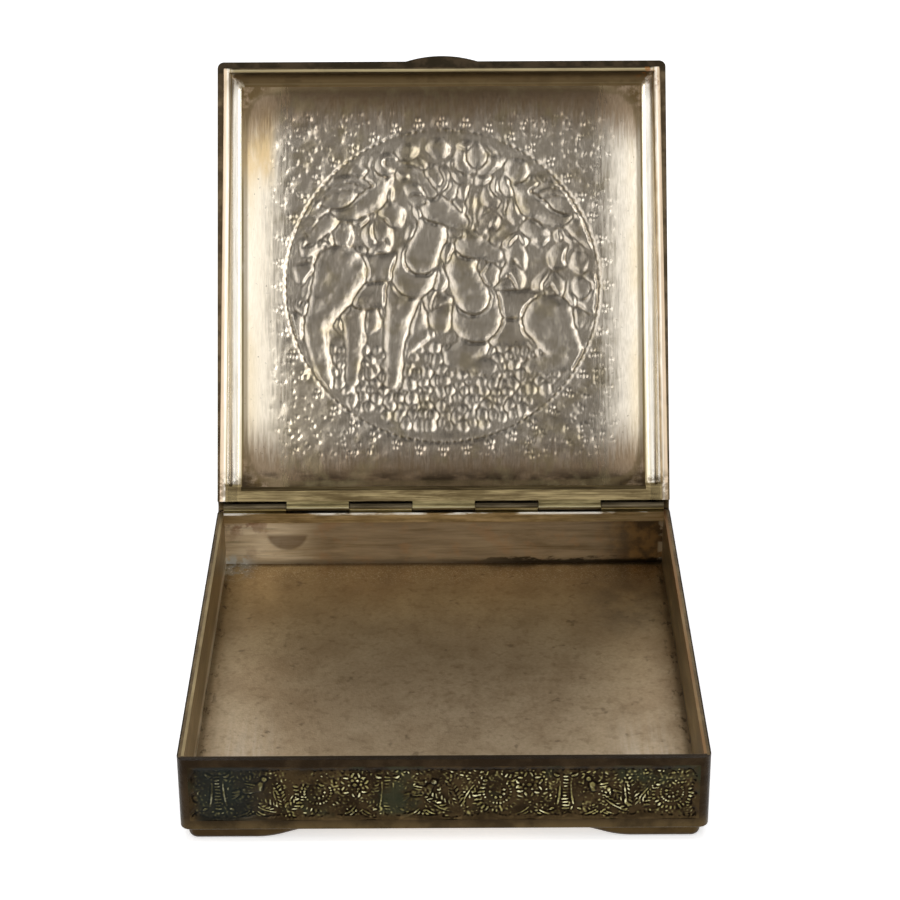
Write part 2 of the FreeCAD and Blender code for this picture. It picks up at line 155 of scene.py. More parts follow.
def dent(shader, height, depth):
    """Fine unevenness of the surface, with its depth in metres."""
    node = new_node("ShaderNodeBump", height)
    node.inputs["Distance"].default_value = depth
    feed(node.inputs["Height"], height)
    feed(shader.inputs["Normal"], node.outputs["Normal"])


def dress(finish, *names):
    """Gives a finish to the plain metal pieces of these names."""
    for name in names:
        frame["nodes"][name].material_slots[0].material = finish


wall_tarnish, tree, shader = new_finish("wall_tarnish", 0.42)
spot = place(tree)
patches = mottle(spot, 90)
wear_and_highlight = span(along(spot, "Z"), 8.5 * MM, 4.5 * MM)
black = lay(patches, "251c12", "33281b")
brown = lay(patches, "3a2f1e", "54452d")
metal = lay(wear_and_highlight, black, brown)
on_side = span(reckon("ABSOLUTE", along(spot, "Y")), (INNER_FACE + 0.5) * MM, (INNER_FACE + 0.1) * MM)
inward = span(reckon("ABSOLUTE", along(spot, "X")), (HALF_SIDE - 0.25) * MM, (HALF_SIDE - 0.5) * MM)
brim = span(along(spot, "Z"), (BRIM - 0.3) * MM, (BRIM - 0.1) * MM)
brim = part_of(brim, on_side, inward)
metal = lay(brim, metal, lay(patches, "5d4c33", "776545"))
feed(shader.inputs["Base Color"], metal)
dent(shader, mottle(spot, 900, 0.3, 0.7), 0.06 * MM)
dress(wall_tarnish, *[f"wall_{side}" for side in SIDES])


# Friezes: the chased fields of the four walls, raised from behind and worked with punches in front.
# Fans, fronds, posts, stars and birds crowd together, half worn; rubbed crests show out of the tarnish, with
# painted glints on the highest.
TOOL_LINE = 0.4


class ChasedSheet:
    """Points on a flat sheet, with the height in millimetres that the punches give to each."""

    def __init__(self, columns, rows):
        self.columns, self.rows = columns, rows
        self.x, self.y = np.meshgrid(columns, rows)
        self.height = np.zeros_like(self.x)
        self.handled = np.ones_like(self.x)

    def patch(self, points, reach):
        """The part of the sheet within reach of some points: its place, and its own x and y."""
        points = np.asarray(points, float)
        low, high = points.min(0) - reach, points.max(0) + reach
        across = slice(*np.searchsorted(self.columns, (low[0], high[0])))
        up = slice(*np.searchsorted(self.rows, (low[1], high[1])))
        return (up, across), self.x[up, across], self.y[up, across]

    def emboss(self, area, edge, dome, line, cover=True):
        """Gives a patch its dome where edge is below zero, inside a tool line."""
        under = self.height[area]
        raised = dome if cover else np.maximum(under, dome)
        self.height[area] = np.where(edge < 0, raised, under) - line * np.exp(-((edge / TOOL_LINE) ** 2))

    def blade(self, root, tip, width, lift, bow=0.0, line=0.12):
        """A leaf, petal or feather from root to tip, bowed to one side."""
        run = np.subtract(tip, root)
        length = np.hypot(*run)
        area, x, y = self.patch([root, tip], width / 2 + abs(bow) * length + 1.5)
        ahead = run / length
        far = ((x - root[0]) * ahead[0] + (y - root[1]) * ahead[1]) / length
        aside = (y - root[1]) * ahead[0] - (x - root[0]) * ahead[1]
        aside = aside - bow * length * 4 * far * (1 - far)
        half = np.maximum(width / 2 * np.sin(np.pi * np.clip(far, 0, 1) ** 0.85), 0.01)
        beyond = length * np.maximum(np.maximum(-far, far - 1), 0)
        edge = np.where(beyond > 0, np.hypot(aside, beyond), np.abs(aside) - half)
        self.emboss(area, edge, lift * 2 * half / width * (1 - np.abs(aside / half) ** 3), line)

    def limb(self, spine, lift, shoulder, line=0.12, cover=True):
        """A pillow along points, each with its own half width, rolled over at its shoulder."""
        widest = max(r for *_, r in spine)
        area, x, y = self.patch([point[:2] for point in spine], widest + 1.5)
        edge, dome = np.full_like(x, 1e3), np.zeros_like(x)
        for (x0, y0, r0), (x1, y1, r1) in zip(spine, spine[1:]):
            run_x, run_y = x1 - x0, y1 - y0
            far = np.clip(((x - x0) * run_x + (y - y0) * run_y) / (run_x ** 2 + run_y ** 2), 0, 1)
            outside = np.hypot(x - x0 - far * run_x, y - y0 - far * run_y) - r0 - far * (r1 - r0)
            roll = np.minimum(r0 + far * (r1 - r0), shoulder)
            fall = np.clip(1 + outside / roll, 0, 1)
            edge = np.minimum(edge, outside)
            dome = np.maximum(dome, lift * roll / shoulder * (1 - fall ** 3))
        self.emboss(area, edge, dome, line, cover)

    def stroke(self, root, tip, width, lift):
        """A fine mark of the punch on work that is already raised."""
        area = self.patch([root, tip], width / 2 + 1.5)[0]
        under = self.height[area].copy()
        self.height[area] = 0
        self.blade(root, tip, width, lift, line=0.0)
        self.height[area] += under

    def disc(self, centre, radius, lift, line=0.12):
        self.limb([(*centre, radius), (centre[0], centre[1] + 0.05, radius)], lift, radius, line)

    def hammer(self, draw, depth, shortest, longest):
        """Soft waves left by the hammer, of mixed lengths and directions."""
        for _ in range(36):
            angle, phase = draw.uniform(0, 2 * math.pi, 2)
            wave = 2 * math.pi / draw.uniform(shortest, longest)
            run = self.x * math.cos(angle) + self.y * math.sin(angle)
            self.height += depth / 6 * np.cos(run * wave + phase)

    def mean(self, reach):
        """The mean height within some grid steps of each point."""
        mean = self.height
        for axis in (0, 1):
            padded = np.pad(mean, [(reach, reach) if a == axis else (0, 0) for a in (0, 1)], "edge")
            shifts = [np.roll(padded, s, axis) for s in range(-reach, reach + 1)]
            cut = [slice(reach, -reach) if a == axis else slice(None) for a in (0, 1)]
            mean = np.mean(shifts, axis=0)[tuple(cut)]
        return mean

    def proud(self):
        """How far each point stands above its neighbours, where hands reach it."""
        return (self.height - self.mean(3)) * self.handled


def polar(centre, reach, degrees):
    """The point at a distance and an angle from a centre."""
    angle = math.radians(degrees)
    return centre[0] + reach * math.cos(angle), centre[1] + reach * math.sin(angle)


def press_plate(name, columns, rows, sheet, shares, back, world):
    """A plate with the sheet's heights in front and a back that closes in steps; world places its points.

    Each step of the back has its share of the plate's width, and back gives the height of its points.
    """
    bpy.ops.object.select_all(action="DESELECT")
    bpy.ops.mesh.primitive_grid_add(
        x_subdivisions=len(columns) - 1, y_subdivisions=len(rows) - 1, size=2)
    piece = bpy.context.object
    piece.name = piece.data.name = name
    front = len(piece.data.vertices)
    bpy.ops.object.mode_set(mode="EDIT")
    bpy.ops.mesh.select_mode(type="EDGE")
    bpy.ops.mesh.select_all(action="DESELECT")
    bpy.ops.mesh.select_non_manifold()
    for _ in shares:
        bpy.ops.mesh.extrude_region_move()
    bpy.ops.mesh.edge_face_add()
    bpy.ops.object.mode_set(mode="OBJECT")
    points = np.empty(len(piece.data.vertices) * 3)
    piece.data.vertices.foreach_get("co", points)
    points = points.reshape(-1, 3)
    column = np.rint((points[:, 0] + 1) / 2 * (len(columns) - 1)).astype(int)
    row = np.rint((points[:, 1] + 1) / 2 * (len(rows) - 1)).astype(int)
    across, up, height = columns[column], rows[row], sheet.height[row, column]
    for step, share in zip(np.split(np.arange(front, len(points)), len(shares)), shares):
        across[step] *= share
        up[step] *= share
        height[step] = back(across[step], up[step])
    points = np.stack(world(across, up, height), axis=1) * MM
    piece.data.vertices.foreach_set("co", points.ravel())
    proud = sheet.proud()[row, column]
    proud[front:] = 0
    mark = piece.data.attributes.new("proud", "FLOAT", "POINT")
    mark.data.foreach_set("value", proud)
    bpy.ops.object.mode_set(mode="EDIT")
    bpy.ops.mesh.select_all(action="SELECT")
    bpy.ops.mesh.normals_make_consistent(inside=False)
    bpy.ops.object.mode_set(mode="OBJECT")
    bpy.ops.object.shade_smooth_by_angle(angle=math.radians(75))
    return piece


FIELD_LENGTH, FIELD_HEIGHT, FIELD_FOOT, FIELD_SINK = 134.4, 16.8, 7.2, 0.7
FIELD_COLUMNS, FIELD_ROWS, MOTIF_PITCH = 761, 97, 9.2


def fan(sheet, draw, x, y, reach, start):
    """Dashes set round part of a circle, about two rows of beads."""
    for angle in np.arange(start, start + draw.uniform(170, 260), 13):
        near, far = reach * draw.uniform((0.66, 0.92), (0.74, 1.06))
        tip = polar((x, y), far, angle + draw.uniform(-3, 3))
        sheet.blade(polar((x, y), near, angle), tip, draw.uniform(0.55, 0.8), draw.uniform(0.16, 0.4))
    for share, step in ((0.5, 15), (0.26, 40)):
        for angle in np.arange(start, start + 230, step):
            sheet.disc(polar((x, y), reach * share, angle), 0.4, draw.uniform(0.14, 0.34))


def frond(sheet, draw, x, y, heading, length):
    """A bent stem with short leaves on both sides."""
    for far in np.arange(0.15, 1.0, 0.11):
        foot = polar((x, y), far * length, heading + 14 * far)
        for lean in (-40, 40):
            tip = polar(foot, length * (0.34 - 0.2 * far), heading + lean + draw.uniform(-9, 9))
            sheet.blade(foot, tip, 0.62, draw.uniform(0.16, 0.38), 0.12)
    sheet.blade((x, y), polar((x, y), length, heading + 14), 0.55, 0.32, 0.1)


def post(sheet, draw, x, foot, tall):
    """An upright of short bars between two strokes, with a hooked head."""
    for level in np.arange(foot, foot + tall, 1.0):
        half, tilt, lift = draw.uniform((0.9, -0.3, 0.16), (1.6, 0.3, 0.38))
        sheet.blade((x - half, level - tilt), (x + half, level + tilt), 0.6, lift)
    for side in (-1, 1):
        sheet.blade((x + side * 2.5, foot), (x + side * 1.6, foot + tall), 0.6, 0.38, side * 0.05)
        sheet.blade((x + side, foot + tall), (x + side * 3.4, foot + tall + 1.4), 0.75, 0.38, -side * 0.3)
        sheet.blade((x + side * 2.6, foot), (x + side * 4.4, foot - 0.8), 0.7, 0.36, side * 0.2)


def star(sheet, draw, x, y, reach):
    """A flower outlined by pairs of strokes, with a ring of beads."""
    for turn in range(6):
        angle = 90 + 60 * turn + draw.uniform(-6, 6)
        for side in (-1, 1):
            root = polar((x, y), reach * 0.55, angle + side * 28)
            sheet.blade(root, polar((x, y), reach, angle), 0.55, 0.38, side * 0.12)
        sheet.disc(polar((x, y), reach * 0.38, angle + 30), 0.38, 0.3)
    sheet.disc((x, y), reach * 0.16, 0.3)


def mound(sheet, draw, x, wide, tall):
    """A peaked hillock at the foot of the field, with a second line and dots inside."""
    for inset in (1.0, 0.6):
        for side in (-1, 1):
            sheet.blade((x + side * wide * inset, 1.2), (x, 1.2 + tall * inset), 0.55, 0.4, side * 0.12)
    for _ in range(5):
        sheet.disc((x + draw.uniform(-0.3, 0.3) * wide, 1.6 + draw.uniform(0, 0.4) * tall), 0.35, 0.3)


def bird(sheet, draw, x, y, way):
    """A bird with a drooping tail and a folded wing."""
    for droop in (-2.2, -1.0, 0.2):
        sheet.blade((x + way * 2.2, y + 0.2), (x + way * 6.2, y + droop - 1.2), 0.8,
                    draw.uniform(0.24, 0.4))
    body = [(x + way * 2.0, y, 1.1), (x - way * 1.4, y + 0.7, 1.4), (x - way * 2.7, y + 2.6, 0.7)]
    sheet.limb(body, 0.34, 1.2)
    sheet.disc((x - way * 3.1, y + 3.4), 0.85, 0.36)
    for step in range(5):
        sheet.blade((x - way * 1.4, y + 1.6 - 0.5 * step), (x + way * 3.0, y + 2.2 - 0.8 * step), 0.5, 0.4)


def chase_frieze(columns, rows, seed):
    """Motifs in a row over a ground of small marks, worn in places and flush at the rim."""
    sheet = ChasedSheet(columns, rows)
    draw = np.random.default_rng(seed)
    for y in np.arange(0.8, FIELD_HEIGHT, 1.6):
        for x in np.arange(-66.5, 67, 2.0):
            root = np.array((x, y)) + draw.uniform(-0.7, 0.7, 2)
            least, most = (0.8, 0, 0.4, 0.03, -0.4), (2.4, 360, 0.7, 0.26, 0.4)
            length, angle, width, lift, bow = draw.uniform(least, most)
            sheet.blade(root, polar(root, length, angle), width, lift, bow)
    for number, x in enumerate(np.arange(-60, 63, MOTIF_PITCH)):
        x += draw.uniform(-1.2, 1.2)
        kind = (number * 3 + seed) % 5
        if kind == 0:
            fan(sheet, draw, x, draw.uniform(8.0, 9.5), draw.uniform(5.6, 7.2), draw.uniform(160, 200))
        elif kind == 1:
            post(sheet, draw, x, draw.uniform(2.4, 3.4), draw.uniform(9.0, 11.0))
        elif kind == 2:
            for lean in (-44, 2, 46):
                frond(sheet, draw, x, 1.8, 90 + lean + draw.uniform(-6, 6), draw.uniform(9, 12.5))
        elif kind == 3:
            star(sheet, draw, x, draw.uniform(9.8, 10.8), draw.uniform(3.8, 4.6))
            mound(sheet, draw, x + draw.uniform(-1, 1), draw.uniform(4.0, 5.5), draw.uniform(3, 4.2))
        else:
            bird(sheet, draw, x, draw.uniform(8, 9.5), draw.choice((-1, 1)))
            mound(sheet, draw, x, draw.uniform(3.4, 4.6), draw.uniform(2.4, 3.4))
    wear = np.zeros_like(sheet.x)
    for _ in range(8):
        x, y, reach = draw.uniform((-60, 3, 2.0), (62, 14, 4.0))
        wear += 0.6 * np.exp(-((sheet.x - x) ** 2 + (sheet.y - y) ** 2) / reach ** 2)
    sheet.height = 1.25 * sheet.mean(1) * (1 - np.clip(wear, 0, 0.8))
    sheet.hammer(draw, 0.1, 2.5, 8.0)
    sheet.hammer(draw, 0.03, 0.9, 2.0)
    ends = FIELD_LENGTH / 2 - np.abs(sheet.x) + 0.5 * np.sin(sheet.y * 1.1)
    foot = sheet.y + 0.3 + 0.5 * np.sin(sheet.x * 0.31 + seed) + 0.25 * np.sin(sheet.x * 0.9)
    rim = np.minimum(ends, np.minimum(foot, FIELD_HEIGHT - sheet.y))
    slope = np.clip(rim / 1.6, 0, 1)
    slope = slope * slope * (3 - 2 * slope)
    sheet.handled = np.clip(rim / 1.2 - 0.3, 0, 1) * (1 - np.clip(wear, 0, 0.8))
    sheet.height = np.clip((sheet.height + 0.2) * slope + FIELD_SINK * (1 - slope), 0.02, FIELD_SINK)
    return sheet


def raised(tree):
    """How far the chased work stands proud, as its sheet was marked."""
    mark = tree.nodes.new("ShaderNodeAttribute")
    mark.attribute_name = "proud"
    return mark.outputs["Fac"]


frieze_tarnish, tree, shader = new_finish("frieze_tarnish", 0.4)
spot = place(tree)
proud = raised(tree)
across, height = along(spot, "X"), along(spot, "Z")
metal = lay(mottle(spot, 130), "251c11", "3a2e1d")
metal = tint(metal, "2b2f22", 0.7, mottle(spot, 60, 0.5, 0.62))
metal = lay(span(height, 9.5 * MM, 7.4 * MM), metal, lay(mottle(spot, 90), "33281a", "4a3c27"))
metal = lay(span(proud, -0.01, -0.08), metal, "100b06")
wear_and_highlight = part_of(span(proud, 0.01, 0.09), mottle(spot, 75, 0.28, 0.5))
metal = lay(wear_and_highlight, metal, lay(mottle(spot, 240), "544c2b", "958c5a"))
# Painted highlight: cream glints on the highest crests, over the rubbed ones.
glint = part_of(span(proud, 0.05, 0.12), mottle(spot, 300, 0.48, 0.6))
metal = tint(metal, "d3cda4", glint, wear_and_highlight)
blued = part_of(span(across, -42 * MM, -54 * MM), span(across, -66.8 * MM, -64 * MM))
metal = tint(metal, "1e211f", 0.72, blued)
feed(shader.inputs["Base Color"], metal)

columns = np.linspace(-FIELD_LENGTH / 2, FIELD_LENGTH / 2, FIELD_COLUMNS)
rows = np.linspace(0, FIELD_HEIGHT, FIELD_ROWS)
outward = {
    "front": lambda u, v, h: (u, FIELD_SINK - HALF_SIDE - h, v + FIELD_FOOT),
    "back": lambda u, v, h: (-u, HALF_SIDE - FIELD_SINK + h, v + FIELD_FOOT),
    "left": lambda u, v, h: (FIELD_SINK - HALF_SIDE - h, -u, v + FIELD_FOOT),
    "right": lambda u, v, h: (HALF_SIDE - FIELD_SINK + h, u, v + FIELD_FOOT),
}
for seed, side in enumerate(SIDES):
    sheet = chase_frieze(columns, rows, seed + 1)
    piece = press_plate(f"frieze_{side}", columns, rows, sheet, (1.0,), lambda x, y: 0 * x, outward[side])
    piece.data.materials.append(frieze_tarnish)
    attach(piece, "base")


# Linings: plain plates soldered behind the walls, brushed along their length and toned brown.
# The back one is tan where the solder ran at its left end, and burnt dark at its right end.
def line_at(value, middle, half):
    """A soft line where a value is near its middle."""
    return span(reckon("ABSOLUTE", reckon("SUBTRACT", value, middle)), half, 0.3 * half)


lining_tone, tree, shader = new_finish("lining_tone", 0.4)
spot = place(tree)
streaks = mottle(place(tree, (0.05, 0.05, 1)), 1100, 0.3, 0.72)
metal = lay(streaks, "8d7c5a", "ab9870")
metal = tint(metal, "64522f", 0.45, mottle(place(tree, (0.4, 0.4, 1)), 120))
across, up = along(spot, "X"), along(spot, "Z")
shaded = part_of(span(across, 40 * MM, 60 * MM), mottle(place(tree, (1, 0.3, 1)), 60, 0.3, 0.6))
metal = tint(metal, "4f4433", 0.6, shaded)
metal = tint(metal, "9a6a3c", 0.5, shaded, span(up, 22 * MM, 26 * MM))
# Painted shade: darker towards the foot, where the lining meets the floor, in patches.
foot = span(up, 11 * MM, 8.4 * MM)
metal = tint(metal, "3a2d19", foot, mottle(spot, 260, 0.4, 0.6))
solder = part_of(span(across, -40 * MM, -60 * MM), mottle(place(tree, (1, 0.15, 1)), 300, 0.36, 0.5))
metal = tint(metal, "e6dcc6", 0.8, solder, span(up, 12.6 * MM, 10.6 * MM))
in_front = span(along(spot, "Y"), -67.6 * MM, -68.2 * MM)
brim = part_of(in_front, span(along(spot, "Z"), (BRIM - 0.5) * MM, (BRIM - 0.2) * MM))
feed(shader.inputs["Base Color"], lay(brim, metal, "2e2417"))
dent(shader, streaks, 0.02 * MM)
dress(lining_tone, "lining_front", "lining_right", "lining_left")

back_lining_tone, tree, shader = new_finish("back_lining_tone", 0.55)
spot = place(tree)
across, up = along(spot, "X"), along(spot, "Z")
streaks = mottle(place(tree, (0.09, 1, 1)), 620, 0.25, 0.75)
metal = lay(streaks, "8f7f68", "ad9c82")
metal = tint(metal, "6a5940", 0.5, mottle(place(tree, (0.35, 1, 1)), 85, 0.46, 0.66))
left_end = span(across, -34 * MM, -58 * MM)
metal = tint(metal, lay(streaks, "dcc6a2", "fff0d4"), 0.9, left_end)
metal = tint(metal, "b08c68", 0.4, mottle(spot, 150, 0.5, 0.66))
metal = tint(metal, "5d4d2c", 0.35, mottle(place(tree, (0.05, 1, 1)), 500, 0.5, 0.66))
red = part_of(span(across, -50 * MM, -62 * MM), span(up, 16 * MM, 22 * MM))
metal = tint(metal, "8a4f30", 0.6, red, mottle(spot, 260, 0.45, 0.58))
right_end = span(across, 44 * MM, 61 * MM)
metal = tint(metal, lay(mottle(spot, 200), "4b3a26", "84663c"), 0.9, right_end)
apart = tree.nodes.new("ShaderNodeVectorMath")
apart.operation = "DISTANCE"
tree.links.new(spot, apart.inputs[0])
apart.inputs[1].default_value = (-48.7 * MM, 67.3 * MM, 19.2 * MM)
stain = part_of(span(apart.outputs["Value"], 7.0 * MM, 5.8 * MM), span(up, 18.8 * MM, 17.2 * MM))
metal = tint(metal, "5e4630", 0.6, stain)
# Painted shade: darker towards the foot, more so at the right end.
foot = part_of(span(up, 10 * MM, 8.2 * MM), reckon("ADD", 0.4, part_of(0.5, right_end)))
metal = lay(foot, metal, "3b2d1a")
ragged = reckon("SUBTRACT", up, part_of(mottle(place(tree, (0.4, 1, 1)), 240), 1.4 * MM))
dirt_and_shade = part_of(span(ragged, 9.2 * MM, 8.4 * MM), span(across, -10 * MM, 30 * MM))
metal = tint(metal, "1c150b", 0.85, dirt_and_shade)
seam = part_of(span(across, 66.4 * MM, 67.2 * MM), mottle(spot, 300, 0.45, 0.55))
metal = tint(metal, "b8ac96", 0.7, seam)
solder = part_of(span(across, -58 * MM, -65 * MM), mottle(spot, 420, 0.42, 0.54))
metal = tint(metal, "dcdad2", solder, span(up, 12 * MM, 9.5 * MM))
feed(shader.inputs["Base Color"], metal)
feed(shader.inputs["Metallic"], reckon("SUBTRACT", 1.0, part_of(0.35, left_end)))
dent(shader, streaks, 0.02 * MM)
dress(back_lining_tone, "lining_back")


# Floor: a sheet of silver soldered in above the foot of the walls, dulled by use.
# It runs from brown at the back to paler in front as painted shade and reflection, with grit and a smudge
# behind, specks near the corners, a painted sheen in front and painted shade along the walls.
floor_tone, tree, shader = new_finish("floor_tone", 0.34)
spot = place(tree)
across, deep = along(spot, "X"), along(spot, "Y")
clouds = mottle(spot, 34, 0.3, 0.7, 8.0)
fine = mottle(spot, 900, 0.3, 0.7, 3.0)
# Painted shade and reflection: browner towards the back wall, paler towards the front.
back = lay(clouds, "a08c6c", "b29e7b")
front = lay(clouds, "b9a385", "cdb99b")
metal = lay(span(deep, 58 * MM, -36 * MM), back, front)
metal = tint(metal, "93714f", 0.22, mottle(spot, 48, 0.42, 0.7, 8.0))
metal = tint(metal, "7c6b4c", 0.25, mottle(spot, 95, 0.44, 0.72, 8.0))
metal = tint(metal, "6d573a", 0.3, mottle(spot, 420, 0.5, 0.68))
metal = tint(metal, "75613f", 0.22, fine)
smudge = part_of(line_at(across, 58 * MM, 22 * MM), line_at(deep, 44 * MM, 26 * MM))
metal = tint(metal, "574c40", 0.55, smudge, mottle(spot, 70, 0.3, 0.6))
# Painted reflection: pale upright sheen near the front corners.
painted_sheen = part_of(line_at(reckon("ABSOLUTE", across), 55 * MM, 12 * MM), span(deep, -8 * MM, -64 * MM))
upright = mottle(place(tree, (1, 0.06, 1)), 700, 0.3, 0.7)
metal = tint(metal, "e0d6c4", 0.7, painted_sheen, upright)
grit = part_of(span(deep, 50 * MM, 62 * MM), mottle(spot, 2100, 0.55, 0.64, 2.0))
metal = tint(metal, "d0c2a6", 0.55, grit)
corner = part_of(span(reckon("ABSOLUTE", across), 42 * MM, 64 * MM), span(deep, -15 * MM, -60 * MM))
specks = part_of(mottle(spot, 210, 0.68, 0.74, 2.0), reckon("ADD", 0.3, corner))
metal = lay(specks, metal, "3d2f1f")
# Painted shade: darker along the foot of the side and back walls.
edge = span(reckon("MAXIMUM", reckon("ABSOLUTE", across), deep), 65.6 * MM, 67.6 * MM)
metal = tint(metal, "46371f", 0.6, edge)
crumbs = part_of(span(reckon("ABSOLUTE", across), 63.5 * MM, 67 * MM),
                 mottle(place(tree, (1, 0.45, 1)), 620, 0.54, 0.64))
metal = tint(metal, "2f2415", 0.65, crumbs)
pool = part_of(span(across, -56 * MM, -63 * MM), span(deep, 56 * MM, 63 * MM))
pool = part_of(pool, mottle(spot, 300, 0.4, 0.52))
metal = tint(metal, lay(mottle(spot, 900, 0.56, 0.62), "a6a49d", "fbfaf5"), 0.85, pool)
feed(shader.inputs["Base Color"], metal)
dent(shader, mottle(spot, 1600, 0.3, 0.7), 0.02 * MM)
dress(floor_tone, "floor_plate")


# Feet: four bracket feet of sheet silver, bent round the corners inside the skirt of the walls.
# They are brown where hands and tables have rubbed them.
foot_tone, tree, shader = new_finish("foot_tone", 0.42)
spot = place(tree)
feed(shader.inputs["Base Color"], lay(mottle(spot, 80), "3a2d1b", "4a3b24"))
dent(shader, mottle(spot, 900, 0.3, 0.7), 0.05 * MM)
dress(foot_tone, "foot_front_left", "foot_front_right", "foot_back_right", "foot_back_left")


# Hinge: a concave bearer along the back wall, seven knuckles of drawn tube and the wire through them.
# The silver is olive with handling; the knuckles carry painted shade on one half and a painted highlight
# line, and the bearer's front edge has a painted highlight.
joint = frame["joints"][0]
HINGE_Y, HINGE_Z = joint["pos_m"][1] / MM, joint["pos_m"][2] / MM
LID_OPEN = math.radians(joint["range_deg"][1])


def hinge_finish(name, light_end, dark_end):
    """Drawn tube, with painted shade towards one level of the hinge and a painted highlight line at the
    other.
    """
    finish, tree, shader = new_finish(name, 0.36)
    streaks = mottle(place(tree, (0.12, 1, 1)), 500, 0.36, 0.64)
    height = along(place(tree), "Z")
    metal = lay(streaks, "62573a", "938660")
    # A painted highlight line at light_end of the tube.
    metal = tint(metal, "d3caa2", 0.7, line_at(height, (HINGE_Z + light_end) * MM, 0.35 * MM))
    # Painted shade from light_end towards dark_end, where the tube turns from the light.
    dirt_and_shade = part_of(span(height, (HINGE_Z + light_end) * MM, (HINGE_Z + dark_end) * MM), 0.85)
    feed(shader.inputs["Base Color"], lay(dirt_and_shade, metal, lay(streaks, "383025", "5a5042")))
    dent(shader, streaks, 0.03 * MM)
    return finish


dress(hinge_finish("base_knuckle_tone", -0.2, 0.7), "hinge_pin",
      *[f"base_knuckle_{n}" for n in range(1, 5)])
dress(hinge_finish("lid_knuckle_tone", 0.4, -0.5), *[f"lid_knuckle_{n}" for n in range(1, 4)])

bearer_tone, tree, shader = new_finish("bearer_tone", 0.36)
spot = place(tree)
streaks = mottle(place(tree, (0.08, 1, 1)), 700, 0.36, 0.64)
metal = lay(streaks, "9b8a69", "ccb995")
metal = tint(metal, "6a5a40", 0.6, mottle(place(tree, (0.3, 1, 1)), 120, 0.5, 0.64))
# Painted highlight: a near-white band along the bearer's front top edge, in patches.
wear_and_highlight = part_of(span(along(spot, "Y"), 68.0 * MM, 67.8 * MM), span(along(spot, "Z"), 25.3 * MM, 25.6 * MM))
wear_and_highlight = part_of(wear_and_highlight, mottle(place(tree, (0.3, 1, 1)), 130, 0.42, 0.5))
feed(shader.inputs["Base Color"], lay(wear_and_highlight, metal, "fffbf0"))
feed(shader.inputs["Metallic"], reckon("SUBTRACT", 1.0, part_of(0.8, wear_and_highlight)))
dent(shader, streaks, 0.03 * MM)
dress(bearer_tone, "hinge_bearer")


# Lid frame: coved mouldings mitred in front, the back bar over the hinge, bezel strips and the thumbpiece.
# The side coves carry a near-white painted reflection inside, the front cove is darker as painted shade, the
# bar is toned, and the outer edges are dark.
LID_REACH, EDGE_LEAN = 139.2, 1.4
MOULDING, COVE_CENTRE, COVE_MIDDLE = 7.3, 1.61, 4.1


def on_lid(tree, stretch=(1, 1, 1)):
    """Coordinates on the lid: X across, Y up from the hinge's axis, Z in from the panel."""
    turn = LID_OPEN - math.pi
    shift_y = -(HINGE_Y * math.cos(turn) - HINGE_Z * math.sin(turn)) * MM
    shift_z = -(HINGE_Y * math.sin(turn) + HINGE_Z * math.cos(turn)) * MM
    centred = tree.nodes.new("ShaderNodeMapping")
    centred.inputs["Scale"].default_value = stretch
    tree.links.new(place(tree, (1, 1, 1), turn, (0, shift_y, shift_z)), centred.inputs["Vector"])
    return centred.outputs["Vector"]


lid_frame_silver, tree, shader = new_finish("lid_frame_silver", 0.52)
lid_spot = on_lid(tree)
up = along(lid_spot, "Y")
side_gap = reckon("SUBTRACT", HALF_SIDE * MM, reckon("ABSOLUTE", along(lid_spot, "X")))
top_gap = reckon("SUBTRACT", LID_REACH * MM, up)
upright = mottle(on_lid(tree, (1, 0.05, 1)), 1500, 0.34, 0.66)
level = mottle(on_lid(tree, (0.05, 1, 1)), 1500, 0.34, 0.66)
blotch = mottle(lid_spot, 170, 0.4, 0.6)


def bands(gap, *stops):
    """Colours along a gap, each with its distance in millimetres."""
    ramp = new_node("ShaderNodeValToRGB", gap)
    reach = stops[-1][0]
    feed(ramp.inputs["Fac"], reckon("DIVIDE", gap, reach * MM))
    shades = ramp.color_ramp.elements
    shades[0].color, shades[1].color = colour(stops[0][1]), colour(stops[-1][1])
    for far, code in stops[1:-1]:
        shades.new(far / reach).color = colour(code)
    return ramp.outputs["Color"]


from_edge = reckon("SUBTRACT", side_gap, part_of(up, EDGE_LEAN / LID_REACH))
on_right = span(along(lid_spot, "X"), 0, 1 * MM)
from_edge = reckon("ADD", from_edge, part_of(on_right, 0.25 * MM))
# Side bands, mostly near white: a painted reflection in the side coves.
sides = bands(from_edge, (0, "2b2418"), (0.6, "3a3022"), (0.75, "dcc4a8"), (1.7, "ead9c4"), (1.9, "fdf6ea"),
              (2.6, "fbf2e2"), (2.75, "a89672"), (2.95, "b3a27f"), (3.15, "fdf4e4"), (4.8, "fffaf0"),
              (5.8, "f6edda"), (6.9, "e4d9c0"), (7.05, "a59870"), (7.3, "8f8262"))
stain = part_of(line_at(from_edge, 2.7 * MM, 0.7 * MM), on_right)
stain = part_of(stain, mottle(on_lid(tree, (1, 0.35, 1)), 170, 0.3, 0.55))
sides = tint(sides, lay(blotch, "6b4c24", "94713f"), 0.65, stain)
scratched = part_of(0.3, upright)
sides = lay(scratched, sides, lay(blotch, "a8946c", "c9b896"))
tarnish = part_of(span(top_gap, 15 * MM, 3 * MM), reckon("ADD", 0.15, part_of(0.4, blotch)))
sides = lay(tarnish, sides, lay(upright, "6d5a3b", "93805a"))
ends = part_of(span(up, 12 * MM, 8 * MM), mottle(lid_spot, 420, 0.42, 0.58))
sides = tint(sides, "5a4828", 0.7, ends)

